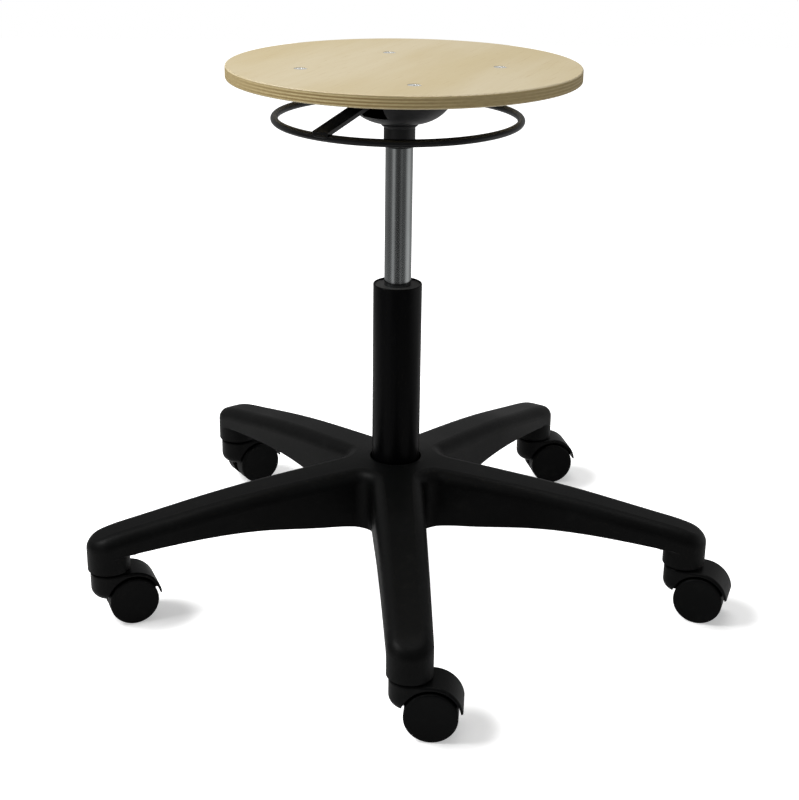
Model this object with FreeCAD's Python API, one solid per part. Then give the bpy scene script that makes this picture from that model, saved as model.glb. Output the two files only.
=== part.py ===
import FreeCAD, Part
import math
import os

from FreeCAD import Vector

# Machinist stool with a plywood seat, a gas spring and a five-legged base on casters.
# Millimetres. +Z is up, and the origin is on the floor under the column's axis.
# The seat is modelled at its highest, and the casters stand as they happen to trail.

# Casters
wheel_r = 25.4
wheel_width = 15.8
wheel_wall = 2.6
wheel_hub_r = 7.0
wheel_rib = 1.8
wheel_rib_count = 6
wheel_edge_r = 2.0
wheel_dish = 1.2
wheel_dish_edge_r = 21.6
wheel_rim_wall = 2.8
wheel_side_gap = 0.6
wheel_top_gap = 2.6
axle_r = 3.0
axle_fit = 0.06
axle_reach = 11.0
axle_end_gap = 0.3
caster_trail = 20.7
caster_web = 10.0
hood_wall = 2.0
hood_half_width = 19.6
hood_crown = 1.4
hood_tip_rise = 4.8
hood_edge_r = 2.6
barrel_bottom = 28.0
barrel_round = 11.0
axle_boss_r = 8.0
caster_headings_deg = [-4.0, -19.5, 11.0, 32.0, 22.0]

# Caster stems
stem_r = 5.5
stem_length = 22.0
stem_collar_r = 8.5
stem_collar = 2.4
stem_spigot_r = 3.5
stem_spigot = 18.0
stem_fit = 0.08
stem_socket_gap = 0.1
stem_chamfer = 1.0
grip_groove_r = 4.7
grip_ring_height = 4.0
grip_ring_rise = 12.0
grip_ring_gap = 2.0

# Star base
leg_count = 5
first_leg_deg = -87.19
stem_circle_r = 314.5
leg_tip_r = 21.9
leg_root_half_width = 27.4
leg_edge_r = 13.0
leg_crotch_r = 14.0
foot_corner_r = 4.0
hub_rise = 10.7
hub_height = 71.0
hub_bottom_r = 44.0
hub_mouth_r = 27.6
hub_mouth_depth = 7.0
hub_flat_r = 31.0
leg_skin = 5.0
leg_wall = 4.5
leg_rib = 4.0
pocket_start_r = 45.0
pocket_round = 8.0
leg_pockets = 5

# Along the leg: share of the leg's reach, and drop below the hub's top or rise above its bottom.
leg_top_curve = [(0.30, 7.4), (0.60, 20.3), (0.85, 35.2), (0.955, 43.4), (1.01, 52.6)]
leg_bottom_curve = [(0.15, 2.9), (0.28, 10.0), (0.45, 16.0), (0.60, 17.2), (0.75, 14.2), (0.858, 10.7)]

# Stand tube
tube_r = 25.4
tube_wall = 1.5
tube_below_hub = 15.0
tube_length = 279.5
tube_taper_length = 68.0
taper_per_mm = 1.0 / 40.0
tube_edge = 0.8
bottom_plate = 3.0
bottom_plate_rise = 3.0

# Guide bush
bush_length = 80.0
bush_fit = 0.08
bush_sleeve = 2.4
bush_collar = 10.0
bush_ribs = 8
bush_rib = 2.4
bush_recess = 1.2
bush_notch = 5.0

# Thrust bearing and rod end
ball_r = 2.0
ball_count = 8
ball_circle_r = 8.5
ball_fit = 0.04
race_r = 12.0
race_thickness = 1.5
cage_thickness = 1.6
cage_band = 2.4
rod_fit = 0.08
rod_end_r = 4.0
rod_end_below_plate = 4.5
clip_washer_r = 7.5
clip_washer_thickness = 1.2
clip_gap = 0.1
rod_clip_r = 6.5
rod_clip_thickness = 1.0
rod_clip_groove = 0.7
rod_clip_mouth = 5.6

# Gas spring
cylinder_r = 14.0
cylinder_wall = 1.5
cylinder_exposed = 143.0
cylinder_in_tube = 109.5
height_stroke = 127.0
cylinder_lip = 2.0
cylinder_lip_r = 7.0
taper_length = 49.0
taper_cap = 4.0
inner_cylinder_r = 10.6
inner_cylinder_wall = 1.0
rod_r = 5.0
rod_seal_fit = 0.05
rod_guide_height = 10.0
rod_seal_height = 4.0
piston_rest_gap = 9.0
piston_height = 12.0
piston_fit = 0.08
piston_seal_height = 2.5
piston_seal_depth = 1.5
rod_rivet_height = 2.0
bump_stop_r = 9.0
bump_stop_gap = 1.0
valve_body_height = 41.0
valve_pin_r = 1.5
valve_pin_drop = 14.0
button_r = 4.0
button_fit = 0.1
button_height = 18.0
button_proud = 5.0
button_travel = 2.62
button_spare = 1.4
button_round = 0.8

# Taper socket and pressed bowl
socket_wall = 1.9
socket_length = 51.4
socket_edge_r = 1.2
socket_weld_height = 5.0
socket_weld_width = 2.8
bowl_bottom_rise = 24.5
bowl_floor_r = 18.0
bowl_round = 38.6
bowl_wall = 2.0
bowl_lip = 7.5
plate_rise = 66.0

# Mount plate, seat and screws
plate_thickness = 3.0
plate_margin = 13.0
plate_corner_r = 14.0
plate_shift_x = 0.8
plate_shift_y = -23.0
screw_circle_r = 97.6
screw_turn_deg = 7.2
seat_r = 175.8
seat_thickness = 12.5
seat_edge_r = 1.6
seat_shift_x = 3.7
screw_head_r = 6.8
screw_head_height = 3.4
screw_head_sink = 0.3
screw_head_rim = 0.5
screw_head_fit = 0.05
screw_r = 3.0
screw_hole_r = 3.3
screw_recess_r = 2.9
screw_recess_width = 1.3
screw_recess_depth = 1.8
screw_end = 1.0
nut_across_flats = 10.0
nut_height = 4.2
washer_r = 7.0
washer_thickness = 1.0

# Release ring, arm and pivot
arm_heading_deg = 235.2
arm_width = 18.0
arm_thickness = 4.0
arm_gap = 0.3
arm_pivot_r = 30.0
arm_inner_reach = 8.0
arm_bend_r = 37.0
ring_r = 122.7
ring_wire_r = 3.8
ring_drop = 40.2
ring_offset = 3.3
arm_weld_sink = 1.3
knuckle_r = 5.0
pin_r = 3.0
pin_fit = 0.06
bracket_gap = 1.0
bracket_wall = 2.5
bracket_length = 14.0
bracket_drop = 24.0
bracket_base = 2.0
pin_overhang = 2.6
clip_r = 5.0
clip_thickness = 0.8
clip_groove = 0.8
arm_slot_clearance = 6.0
arm_slot_below = 15.0

# Heights from the floor up
axle_z = wheel_r
hood_inner_r = wheel_r + wheel_top_gap
hood_outer_r = hood_inner_r + hood_wall
hood_top = axle_z + hood_outer_r + hood_crown
collar_z = hood_top + stem_socket_gap
foot_z = collar_z + stem_collar
hub_bottom = foot_z + hub_rise
hub_top = hub_bottom + hub_height
tube_bottom = hub_bottom - tube_below_hub
tube_top = tube_bottom + tube_length
leg_reach = stem_circle_r + leg_tip_r
foot_inner_r = stem_circle_r - leg_tip_r
plate_bottom_z = tube_bottom + bottom_plate_rise
lower_race_z = plate_bottom_z + bottom_plate
ball_z = lower_race_z + race_thickness + ball_r
upper_race_z = ball_z + ball_r
shoulder_z = upper_race_z + race_thickness
rod_bottom = plate_bottom_z - rod_end_below_plate
cylinder_bottom = tube_top - cylinder_in_tube
guide_z = cylinder_bottom + cylinder_lip
seal_z = guide_z + rod_guide_height
inner_cylinder_z = seal_z + rod_seal_height
piston_z = inner_cylinder_z + piston_rest_gap
mouth_z = tube_top + cylinder_exposed
cone_top = mouth_z + taper_length
valve_z = cone_top - taper_cap - valve_body_height
button_top = cone_top + button_proud
arm_z = button_top + arm_gap
pivot_z = arm_z - knuckle_r
bowl_bottom = mouth_z + bowl_bottom_rise
bowl_mouth_r = bowl_floor_r + bowl_round
bowl_flange_r = bowl_mouth_r + bowl_lip
socket_r = cylinder_r + socket_wall
mount_plate_z = mouth_z + plate_rise
seat_bottom = mount_plate_z + plate_thickness
seat_top = seat_bottom + seat_thickness
ring_z = mount_plate_z + plate_thickness - ring_drop
tube_inner_r = tube_r - tube_wall
cylinder_inner_r = cylinder_r - cylinder_wall
ring_far_r = ring_offset + ring_r
hidden = 1.0
close = 0.01

os.makedirs("parts", exist_ok=True)


def save(name, solids):
    """Write one sub-part, given as a solid or a list of separate solids."""
    if isinstance(solids, list):
        shape = Part.makeCompound(solids)
    else:
        shape = solids
    shape.exportStep("parts/" + name + ".step")


def disc(radius, low, high):
    """A cylinder on the column's axis from one height to another."""
    return Part.makeCylinder(radius, high - low, Vector(0, 0, low))


def sleeve(outer_r, inner_r, low, high):
    """A straight tube on the column's axis."""
    return disc(outer_r, low, high).cut(disc(inner_r, low - hidden, high + hidden))


def taper(low_r, high_r, low, high):
    """A cone's frustum on the column's axis."""
    return Part.makeCone(low_r, high_r, high - low, Vector(0, 0, low))


def turned(points):
    """The solid that a closed outline of (radius, height) points makes about the axis."""
    corners = [Vector(r, 0, z) for r, z in points]
    face = Part.Face(Part.makePolygon(corners + [corners[0]]))
    return face.revolve(Vector(0, 0, 0), Vector(0, 0, 1), 360)


def spun(shape, degrees):
    """A copy turned about the column's axis."""
    copy = shape.copy()
    copy.rotate(Vector(0, 0, 0), Vector(0, 0, 1), degrees)
    return copy


def moved(shape, x, y, z):
    """A copy shifted by a vector."""
    copy = shape.copy()
    copy.translate(Vector(x, y, z))
    return copy


def around(shape, count, first_deg=0.0):
    """Copies spaced evenly about the column's axis."""
    return [spun(shape, first_deg + 360.0 * k / count) for k in range(count)]


def bar(x0, x1, y0, y1, z0, z1):
    """A rectangular block between three pairs of limits."""
    return Part.makeBox(x1 - x0, y1 - y0, z1 - z0, Vector(x0, y0, z0))


def at_screws(shape):
    """Copies of a shape at the four screws of the mount plate."""
    placed = around(moved(shape, screw_circle_r, 0, 0), 4, screw_turn_deg)
    return [moved(copy, plate_shift_x, plate_shift_y, 0) for copy in placed]


# Star base


def leg_slope():
    """The angle at which a leg's walls draw in, so that they run into the round tip."""
    run = stem_circle_r - hub_bottom_r
    to_tip = math.hypot(run, leg_root_half_width)
    return math.atan2(leg_root_half_width, run) - math.asin(leg_tip_r / to_tip)


def leg_plan(inset, start_r, low, high):
    """One leg seen from above, as an upright prism along +X with its walls drawn in."""
    slope = leg_slope()
    tip_r = leg_tip_r - inset
    end_x = stem_circle_r + tip_r * math.sin(slope)
    end_y = tip_r * math.cos(slope)
    start_y = end_y + (end_x - start_r) * math.tan(slope)
    left_start = Vector(start_r, start_y, low)
    left_end = Vector(end_x, end_y, low)
    right_end = Vector(end_x, -end_y, low)
    right_start = Vector(start_r, -start_y, low)
    edges = [
        Part.makeLine(left_start, left_end),
        Part.Arc(left_end, Vector(stem_circle_r + tip_r, 0, low), right_end).toShape(),
        Part.makeLine(right_end, right_start),
        Part.makeLine(right_start, left_start),
    ]
    return Part.Face(Part.Wire(edges)).extrude(Vector(0, 0, high - low))


def leg_curve(points, first, sign, base_z):
    """A smooth line of the leg's side view, from shares of its reach and height steps."""
    places = [first] + [Vector(share * leg_reach, 0, base_z + sign * step) for share, step in points]
    curve = Part.BSplineCurve()
    curve.interpolate(places)
    return curve.toShape(), places[-1]


def turned_edges(edges):
    """The solid that a closed chain of edges makes about the axis, with its seam behind the leg."""
    face = Part.Face(Part.Wire(Part.__sortEdges__(edges)))
    return spun(face.revolve(Vector(0, 0, 0), Vector(0, 0, 1), 360), 180.0)


def foot_top_z():
    """Height at which the arched underside meets the foot."""
    return hub_bottom + leg_bottom_curve[-1][1] - hidden


def leg_outside():
    """The space between the legs' top and their arched underside, with the foot at its end."""
    top_start = Vector(hub_flat_r, 0, hub_top)
    top, top_end = leg_curve(leg_top_curve, top_start, -1.0, hub_top)
    under_start = Vector(hub_bottom_r, 0, hub_bottom)
    under, under_end = leg_curve(leg_bottom_curve, under_start, 1.0, hub_bottom)
    foot = [
        under_end,
        Vector(foot_inner_r, 0, foot_top_z()),
        Vector(foot_inner_r, 0, foot_z),
        Vector(top_end.x, 0, foot_z),
        top_end,
    ]
    hub = [top_start, Vector(0, 0, hub_top), Vector(0, 0, hub_bottom), under_start]
    return turned_edges([under, top] + Part.makePolygon(foot).Edges + Part.makePolygon(hub).Edges)


def leg_inside():
    """The room under the legs' skin, open downwards."""
    top_start = Vector(hub_flat_r, 0, hub_top - leg_skin)
    top, top_end = leg_curve(leg_top_curve, top_start, -1.0, hub_top - leg_skin)
    rest = [
        top_end,
        Vector(top_end.x, 0, tube_bottom),
        Vector(0, 0, tube_bottom),
        Vector(0, 0, hub_top - leg_skin),
        top_start,
    ]
    return turned_edges([top] + Part.makePolygon(rest).Edges)


def foot_relief():
    """What is taken off the foot's inner side, so that it is round about the stem."""
    low = foot_z - hidden
    boss_r = leg_tip_r / math.cos(leg_slope())
    left = Vector(stem_circle_r, boss_r, low)
    right = Vector(stem_circle_r, -boss_r, low)
    near_x = foot_inner_r - boss_r
    side_y = 2.0 * boss_r
    away = [
        right,
        Vector(foot_inner_r, -side_y, low),
        Vector(near_x, -side_y, low),
        Vector(near_x, side_y, low),
        Vector(foot_inner_r, side_y, low),
        left,
    ]
    inner = Part.Arc(left, Vector(stem_circle_r - boss_r, 0, low), right).toShape()
    face = Part.Face(Part.Wire([inner] + Part.makePolygon(away).Edges))
    relief = face.extrude(Vector(0, 0, foot_top_z() - low))
    return relief.makeFillet(foot_corner_r, arc_edges_at(relief, foot_top_z()))


def arc_edges_at(shape, z):
    """The round edges that lie level at a height."""
    found = []
    for edge in shape.Edges:
        box = edge.BoundBox
        level = abs(box.ZMin - z) < close and abs(box.ZMax - z) < close
        if level and hasattr(edge.Curve, "Radius"):
            found.append(edge)
    return found


def upright_edges(shape, low_r, high_r):
    """The vertical straight edges that lie between two radii."""
    found = []
    for edge in shape.Edges:
        a, b = edge.Vertexes[0].Point, edge.Vertexes[-1].Point
        radius = math.hypot(a.x, a.y)
        upright = abs(a.x - b.x) < close and abs(a.y - b.y) < close and abs(a.z - b.z) > hidden
        if upright and low_r < radius < high_r:
            found.append(edge)
    return found


def top_rim_edges(shape):
    """The edges where one leg's upright walls meet its domed top."""
    found = []
    half_pitch = math.pi / leg_count
    arch_z = hub_bottom + max(rise for share, rise in leg_bottom_curve)
    for edge in shape.Edges:
        middle = edge.valueAt(0.5 * (edge.FirstParameter + edge.LastParameter))
        on_cut = abs(abs(math.atan2(middle.y, middle.x)) - half_pitch) < 0.1 * close
        if edge.BoundBox.ZMin > arch_z + hidden and not on_cut and middle.x > hub_flat_r + hidden:
            found.append(edge)
    return found


def leg_sector():
    """One leg along +X with its share of the hub, rounded along its top edges."""
    leg = leg_plan(0.0, 0.5 * tube_r, tube_bottom, hub_top + hidden)
    legs = around(leg, leg_count)
    plan = legs[0].multiFuse(legs[1:] + [disc(tube_r + leg_wall, tube_bottom, hub_top + hidden)])
    plan = plan.removeSplitter()
    plan = plan.makeFillet(leg_crotch_r, upright_edges(plan, 0.5 * tube_r, 2.0 * leg_root_half_width))
    far = 2.0 * leg_reach
    side = far * math.tan(math.pi / leg_count)
    corners = [Vector(0, 0, 0), Vector(far, side, 0), Vector(far, -side, 0), Vector(0, 0, 0)]
    wedge = Part.Face(Part.makePolygon(corners)).extrude(Vector(0, 0, 2.0 * hub_top))
    sector = plan.common(wedge).common(leg_outside())
    return sector.makeFillet(leg_edge_r, top_rim_edges(sector)).cut(foot_relief())


def leg_pocket_list():
    """The hollow cells under one leg, between the cross ribs."""
    end_r = foot_inner_r - leg_wall
    pitch = (end_r - pocket_start_r + leg_rib) / leg_pockets
    below = leg_plan(leg_wall, 0.5 * pocket_start_r, tube_bottom, hub_top)
    room = leg_inside()
    cells = []
    for k in range(leg_pockets):
        near = pocket_start_r + k * pitch
        far = near + pitch - leg_rib
        cell = below.common(room).common(bar(near, far, -far, far, tube_bottom, hub_top))
        long_edges = []
        for edge in cell.Edges:
            box = edge.BoundBox
            if box.XMax - box.XMin > 0.5 * (far - near) and box.ZMin > hub_bottom:
                long_edges.append(edge)
        cells.append(cell.makeFillet(pocket_round, long_edges))
    return cells


def star_base():
    """The five legs and their hub, hollow and ribbed underneath."""
    sector = leg_sector()
    for cell in leg_pocket_list():
        sector = sector.cut(cell)
    socket = disc(stem_r + stem_socket_gap, foot_z - hidden, foot_z + stem_length + hidden)
    sector = sector.cut(moved(socket, stem_circle_r, 0, 0))
    sectors = around(sector, leg_count, first_leg_deg)
    star = sectors[0].multiFuse(sectors[1:]).removeSplitter()
    star = star.cut(tube_cone(0.0, tube_bottom - hidden, hub_top + hidden))
    mouth = taper(tube_r, hub_mouth_r, hub_top - hub_mouth_depth, hub_top)
    return star.cut(mouth.fuse(disc(hub_mouth_r, hub_top, hub_top + hidden)))


# Stand tube and its bush


def tube_cone(inset, low, high):
    """The stand tube's outside, straight above and tapered where it sits in the hub."""
    taper_top = tube_bottom + tube_taper_length
    low_r = tube_r - inset - (taper_top - low) * taper_per_mm
    if high <= taper_top:
        return taper(low_r, low_r + (high - low) * taper_per_mm, low, high)
    points = [(0, low), (low_r, low), (tube_r - inset, taper_top), (tube_r - inset, high), (0, high)]
    return turned(points)


def stand_tube():
    body = tube_cone(0.0, tube_bottom, tube_top)
    rim = [e for e in body.Edges if e.Closed and e.BoundBox.ZMin > tube_top - close]
    body = body.makeFillet(tube_edge, rim)
    return body.cut(tube_cone(tube_wall, tube_bottom - hidden, tube_top + hidden))


def tube_bottom_plate():
    plug = tube_cone(tube_wall, plate_bottom_z, lower_race_z)
    return plug.cut(disc(rod_end_r + rod_fit, plate_bottom_z - hidden, lower_race_z + hidden))


def guide_bush():
    """A thin sleeve round the cylinder, ribs out to the tube and a notched collar on top."""
    bore_r = cylinder_r + bush_fit
    top = tube_top - bush_recess
    low = top - bush_length
    body = disc(bore_r + bush_sleeve, low, top)
    body = body.fuse(disc(tube_inner_r, top - bush_collar, top))
    body = body.fuse(disc(tube_inner_r, low, low + 0.5 * bush_collar))
    rib = bar(0, tube_inner_r, -0.5 * bush_rib, 0.5 * bush_rib, low, top)
    body = body.multiFuse(around(rib.common(disc(tube_inner_r, low, top)), bush_ribs))
    notch_r = tube_inner_r - 0.5 * bush_notch
    notch = bar(notch_r, tube_r, -0.5 * bush_notch, 0.5 * bush_notch, top - 2.0 * bush_rib, top + hidden)
    body = body.cut(Part.makeCompound(around(notch, 4, 45.0)))
    body = body.cut(disc(bore_r, low - hidden, top + hidden))
    return body.removeSplitter()


# Thrust bearing and the rod's lower end


def thrust_ball_cage():
    outer_r = ball_circle_r + cage_band
    inner_r = ball_circle_r - cage_band
    low = ball_z - 0.5 * cage_thickness
    ring = sleeve(outer_r, inner_r, low, low + cage_thickness)
    hole = Part.makeSphere(ball_r + ball_fit, Vector(ball_circle_r, 0, ball_z))
    return ring.cut(Part.makeCompound(around(hole, ball_count)))


def thrust_balls():
    ball = Part.makeSphere(ball_r - ball_fit, Vector(ball_circle_r, 0, ball_z))
    return around(ball, ball_count)


def clip_washer_top():
    return plate_bottom_z - clip_gap


def clip_washer_low():
    return clip_washer_top() - clip_washer_thickness


def rod_clip():
    """A split ring in the rod's groove, under the washer."""
    high = clip_washer_low()
    ring = sleeve(rod_clip_r, rod_end_r - rod_clip_groove, high - rod_clip_thickness, high)
    half = 0.5 * rod_clip_mouth
    return ring.cut(bar(0, 2.0 * rod_clip_r, -half, half, high - 2.0 * rod_clip_thickness, high))


def piston_rod():
    """The rod from its clip below the bottom plate up to the riveted end above the piston."""
    clip_high = clip_washer_low()
    rod = disc(rod_end_r, rod_bottom, shoulder_z).fuse(disc(rod_r, shoulder_z, piston_z))
    rivet_top = piston_z + piston_height + rod_rivet_height
    rod = rod.fuse(disc(rod_end_r, piston_z, rivet_top)).removeSplitter()
    groove = sleeve(rod_r, rod_end_r - rod_clip_groove, clip_high - rod_clip_thickness, clip_high)
    return rod.cut(groove)


# Gas spring


def bump_stop():
    """A sleeve that fills the room left under the cylinder at its lowest."""
    top = cylinder_bottom - height_stroke - bump_stop_gap
    return sleeve(bump_stop_r, rod_r, shoulder_z, top)


def cone_solid(inset, low, high):
    """The tapered end that seats in the socket, by its distance above the socket's mouth."""
    low_r = cylinder_r - inset - (low - mouth_z) * taper_per_mm
    high_r = cylinder_r - inset - (high - mouth_z) * taper_per_mm
    return taper(low_r, high_r, low, high)


def gas_cylinder():
    body = disc(cylinder_r, cylinder_bottom, mouth_z).fuse(cone_solid(0.0, mouth_z, cone_top))
    body = body.removeSplitter()
    body = body.cut(disc(cylinder_inner_r, guide_z, valve_z))
    body = body.cut(disc(cylinder_inner_r - cylinder_wall, valve_z - hidden, cone_top - taper_cap))
    body = body.cut(disc(cylinder_lip_r, cylinder_bottom - hidden, guide_z + hidden))
    return body.cut(disc(button_r + button_fit, valve_z, cone_top + hidden))


def button_bottom():
    return button_top - button_height


def valve_body():
    top = cone_top - taper_cap
    body = disc(cylinder_inner_r - cylinder_wall, valve_z, top)
    well = button_bottom() - button_travel - button_spare
    body = body.cut(disc(button_r + button_fit, well, top + hidden))
    return body.cut(disc(valve_pin_r + button_fit, valve_z - hidden, well + hidden))


def release_button():
    body = disc(button_r, button_bottom(), button_top)
    rim = [e for e in body.Edges if e.BoundBox.ZMin > button_top - close]
    return body.makeFillet(button_round, rim)


def valve_pin():
    return disc(valve_pin_r, valve_z - valve_pin_drop, button_bottom())


def piston():
    body = sleeve(inner_bore_r() - piston_fit, rod_end_r, piston_z, piston_z + piston_height)
    low = piston_z + 0.5 * (piston_height - piston_seal_height)
    groove = sleeve(inner_bore_r(), inner_bore_r() - piston_seal_depth, low, low + piston_seal_height)
    return body.cut(groove)


def piston_seal():
    low = piston_z + 0.5 * (piston_height - piston_seal_height)
    outer_r = inner_bore_r() - 0.5 * piston_fit
    return sleeve(outer_r, inner_bore_r() - piston_seal_depth, low, low + piston_seal_height)


def inner_bore_r():
    return inner_cylinder_r - inner_cylinder_wall


# Taper socket, bowl and plate


def taper_socket():
    """A straight-sided tube with a tapered bore and a weld under the bowl."""
    body = disc(socket_r, mouth_z, mouth_z + socket_length)
    rims = [e for e in body.Edges if e.Closed and e.BoundBox.ZMax - e.BoundBox.ZMin < close]
    body = body.makeFillet(socket_edge_r, rims)
    weld_r = socket_r + socket_weld_width
    body = body.fuse(taper(socket_r, weld_r, bowl_bottom - socket_weld_height, bowl_bottom))
    bore_low = mouth_z - hidden
    bore_high = mouth_z + socket_length + hidden
    return body.removeSplitter().cut(cone_solid(0.0, bore_low, bore_high))


def bowl_skin(inset):
    """The bowl's outside, or its inside by an inset: a flat floor and a quarter round to the mouth."""
    floor_z = bowl_bottom + inset
    turn_z = bowl_bottom + bowl_round
    floor_end = Vector(bowl_floor_r, 0, floor_z)
    wall_start = Vector(bowl_mouth_r - inset, 0, turn_z)
    slant = (bowl_round - inset) * math.sqrt(0.5)
    knee = Vector(bowl_floor_r + slant, 0, turn_z - slant)
    rest = [
        wall_start,
        Vector(wall_start.x, 0, mount_plate_z),
        Vector(0, 0, mount_plate_z),
        Vector(0, 0, floor_z),
        floor_end,
    ]
    return turned_edges([Part.Arc(floor_end, knee, wall_start).toShape()] + Part.makePolygon(rest).Edges)


def arm_slot():
    """The opening in the bowl's wall that the release arm swings in."""
    half = 0.5 * arm_width + arm_slot_clearance
    low = arm_line_z(bowl_mouth_r) - arm_slot_below
    return bar(arm_pivot_r, bowl_mouth_r + hidden, -half, half, low, arm_z + arm_thickness)


def bowl_housing():
    """A pressed bowl with a flat floor and a narrow lip, open at the arm."""
    body = bowl_skin(0.0).fuse(disc(bowl_flange_r, mount_plate_z - bowl_wall, mount_plate_z))
    body = body.cut(bowl_skin(bowl_wall))
    body = body.cut(disc(socket_r, bowl_bottom - hidden, mount_plate_z))
    return body.cut(spun(arm_slot(), arm_heading_deg))


def mount_plate():
    """A square plate with round corners, turned so that its corners take the screws."""
    half = screw_circle_r * math.sqrt(0.5) + plate_margin
    body = bar(-half, half, -half, half, mount_plate_z, seat_bottom)
    body = body.makeFillet(plate_corner_r, upright_edges_of_box(body))
    body = moved(spun(body, screw_turn_deg + 45.0), plate_shift_x, plate_shift_y, 0)
    holes = at_screws(disc(screw_hole_r, mount_plate_z - hidden, seat_bottom + hidden))
    return body.cut(Part.makeCompound(holes))


def upright_edges_of_box(body):
    return [e for e in body.Edges if e.BoundBox.ZMax - e.BoundBox.ZMin > 0.5 * plate_thickness]


# Seat, screws, washers and nuts


def screw_head_cone(extra):
    """The countersunk head's outside, or its hole when it is given some extra room."""
    top = seat_top - screw_head_sink
    rim_z = top - screw_head_rim
    cone = taper(screw_r + extra, screw_head_r + extra, top - screw_head_height, rim_z)
    return cone.fuse(disc(screw_head_r + extra, rim_z, top))


def seat_disc():
    body = disc(seat_r, seat_bottom, seat_top)
    rims = [e for e in body.Edges if e.Closed and e.BoundBox.ZMax - e.BoundBox.ZMin < close]
    body = moved(body.makeFillet(seat_edge_r, rims), seat_shift_x, 0, 0)
    hole = disc(screw_hole_r, seat_bottom - hidden, seat_top + hidden)
    mouth = disc(screw_head_r + screw_head_fit, seat_top - screw_head_sink, seat_top + hidden)
    room = screw_head_cone(screw_head_fit).fuse(mouth)
    return body.cut(Part.makeCompound(at_screws(hole.fuse(room))))


def screw_bottom():
    return mount_plate_z - washer_thickness - nut_height - screw_end


def seat_screws():
    top = seat_top - screw_head_sink
    screw = screw_head_cone(0.0).fuse(disc(screw_r, screw_bottom(), top - screw_head_height))
    screw = screw.removeSplitter()
    low = top - screw_recess_depth
    half = 0.5 * screw_recess_width
    cross = bar(-screw_recess_r, screw_recess_r, -half, half, low, top + hidden)
    screw = screw.cut(cross.fuse(spun(cross, 90.0)))
    return at_screws(screw)


def seat_nuts():
    """Six-sided nuts under the washers."""
    corner_r = 0.5 * nut_across_flats / math.cos(math.radians(30.0))
    low = mount_plate_z - washer_thickness - nut_height
    corners = [Vector(corner_r, 0, low)]
    for k in range(1, 7):
        angle = math.radians(60.0 * k)
        corners.append(Vector(corner_r * math.cos(angle), corner_r * math.sin(angle), low))
    nut = Part.Face(Part.makePolygon(corners)).extrude(Vector(0, 0, nut_height))
    return at_screws(nut.cut(disc(screw_r, low - hidden, low + nut_height + hidden)))


def seat_washers():
    low = mount_plate_z - washer_thickness
    return at_screws(sleeve(washer_r, screw_r, low, mount_plate_z))


# Release arm, ring and pivot, made along +X and then turned to the arm's heading


def arm_outer_z():
    return ring_z + ring_wire_r - arm_weld_sink


def arm_line_z(radius):
    """Height of the sloping part's underside at a distance from the axis."""
    share = (radius - arm_bend_r) / (ring_far_r - arm_bend_r)
    return arm_z + (arm_outer_z() - arm_z) * share


def ring_torus():
    return Part.makeTorus(ring_r, ring_wire_r, Vector(ring_offset, 0, ring_z))


def ring_arm():
    """A flat bar, bent once, with its knuckle below and its end saddled on the ring."""
    end_r = ring_far_r + ring_wire_r
    outline = [
        (-arm_inner_reach, arm_z),
        (arm_bend_r, arm_z),
        (end_r, arm_line_z(end_r)),
        (end_r, arm_line_z(end_r) + arm_thickness),
        (arm_bend_r, arm_z + arm_thickness),
        (-arm_inner_reach, arm_z + arm_thickness),
    ]
    corners = [Vector(r, -0.5 * arm_width, z) for r, z in outline]
    face = Part.Face(Part.makePolygon(corners + [corners[0]]))
    body = face.extrude(Vector(0, arm_width, 0))
    start = Vector(arm_pivot_r, -0.5 * arm_width, pivot_z)
    knuckle = Part.makeCylinder(knuckle_r, arm_width, start, Vector(0, 1, 0))
    hinge = bar(arm_pivot_r - 0.5 * knuckle_r, arm_pivot_r + 0.5 * knuckle_r,
                -0.5 * arm_width, 0.5 * arm_width, pivot_z, arm_z)
    body = body.multiFuse([knuckle, hinge]).removeSplitter()
    bore_start = start - Vector(0, hidden, 0)
    bore = Part.makeCylinder(pin_r + pin_fit, arm_width + 2.0 * hidden, bore_start, Vector(0, 1, 0))
    body = body.cut(bore).cut(ring_torus())
    body = max(body.Solids, key=lambda solid: solid.Volume)
    return spun(body, arm_heading_deg)


def bracket_half():
    return 0.5 * arm_width + bracket_gap + bracket_wall


def lever_bracket():
    """A strip under the plate with two ears that hold the pin."""
    half = bracket_half()
    near = arm_pivot_r - 0.5 * bracket_length
    far = arm_pivot_r + 0.5 * bracket_length
    low = mount_plate_z - bracket_drop
    body = bar(near, far, -half, half, low, mount_plate_z)
    inner = half - bracket_wall
    room_top = mount_plate_z - bracket_base
    body = body.cut(bar(near - hidden, far + hidden, -inner, inner, low - hidden, room_top))
    start = Vector(arm_pivot_r, -half - hidden, pivot_z)
    body = body.cut(Part.makeCylinder(pin_r, 2.0 * (half + hidden), start, Vector(0, 1, 0)))
    return spun(body, arm_heading_deg)


def pin_half():
    return bracket_half() + pin_overhang


def lever_pivot_pin():
    start = Vector(arm_pivot_r, -pin_half(), pivot_z)
    pin = Part.makeCylinder(pin_r, 2.0 * pin_half(), start, Vector(0, 1, 0))
    for ring in clip_rings(pin_r + hidden):
        pin = pin.cut(ring)
    return spun(pin, arm_heading_deg)


def clip_rings(outer_r):
    """Two rings in the pin's end grooves, just outside the bracket's ears."""
    rings = []
    for low in (bracket_half(), -bracket_half() - clip_thickness):
        start = Vector(arm_pivot_r, low, pivot_z)
        ring = Part.makeCylinder(outer_r, clip_thickness, start, Vector(0, 1, 0))
        hole = Part.makeCylinder(pin_r - clip_groove, clip_thickness, start, Vector(0, 1, 0))
        rings.append(ring.cut(hole))
    return rings


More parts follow.
